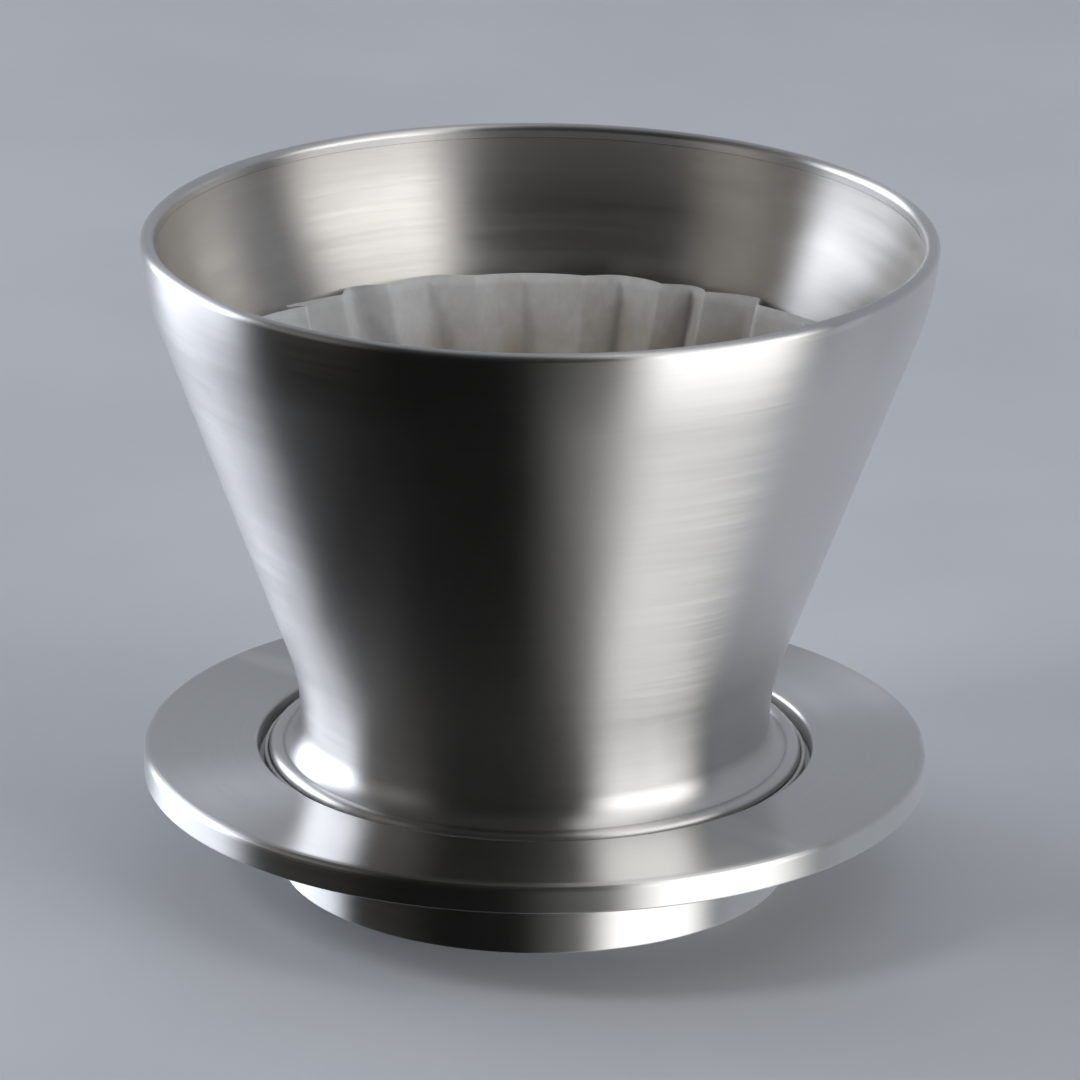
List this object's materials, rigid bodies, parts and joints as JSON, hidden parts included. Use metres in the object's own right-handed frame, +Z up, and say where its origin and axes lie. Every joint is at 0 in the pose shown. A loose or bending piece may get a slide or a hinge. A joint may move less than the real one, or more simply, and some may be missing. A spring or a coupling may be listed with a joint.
{
  "type": "pour over coffee dripper",
  "caption": "Double-walled steel cone for pour-over coffee. Its rolled foot sits in a recessed base ring with a collar, and a fluted paper filter stands in the cone.",
  "frame": {"origin": "centre of the lower edge of the base ring's collar", "axes": "+Z up along the axis of the cone; the part is round, so X and Y are free"},
  "size_m": [0.11, 0.11, 0.0923],
  "materials": {
    "brushed_steel": "satin",
    "satin_steel": "satin",
    "silicone": "matte",
    "filter_paper": "matte"
  },
  "bodies": {
    "base": {"base_cover": "brushed_steel", "base_underplate": "brushed_steel", "foot_seal": "silicone"},
    "dripper": {"outer_shell": "brushed_steel", "inner_liner": "satin_steel", "drain_disc": "satin_steel", "foot_closure": "brushed_steel"},
    "filter": {"paper_filter": "filter_paper"}
  },
  "joints": [
    {"name": "dripper_lift", "type": "slide", "parent": "base", "child": "dripper", "axis": [0, 0, 1], "range_m": [0, 0.04]},
    {"name": "filter_lift", "type": "slide", "parent": "dripper", "child": "filter", "axis": [0, 0, 1], "range_m": [0, 0.075]}
  ]
}
